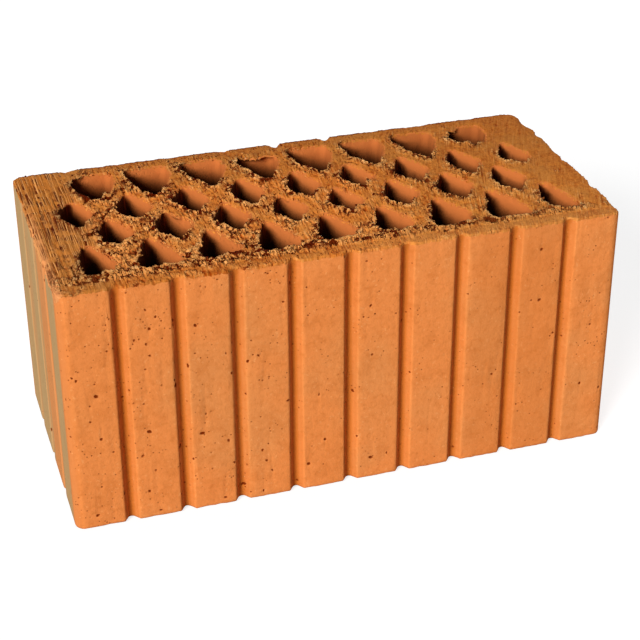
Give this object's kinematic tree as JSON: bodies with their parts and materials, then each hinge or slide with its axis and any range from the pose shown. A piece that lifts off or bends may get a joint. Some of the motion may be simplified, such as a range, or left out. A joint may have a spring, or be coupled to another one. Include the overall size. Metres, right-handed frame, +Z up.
{
  "type": "vertically perforated clay brick",
  "caption": "Perforated fired clay brick with rows of vertical holes and keying grooves on its four upright faces.",
  "frame": {"origin": "centre of the bottom bed face, which the brick lies on", "axes": "+X along the brick's length, +Y from the grooved front face to the back face, +Z up along the holes"},
  "size_m": [0.24, 0.115, 0.113],
  "materials": {
    "fired_clay": "matte"
  },
  "bodies": {
    "root": {"clay_body": "fired_clay"}
  },
  "joints": []
}
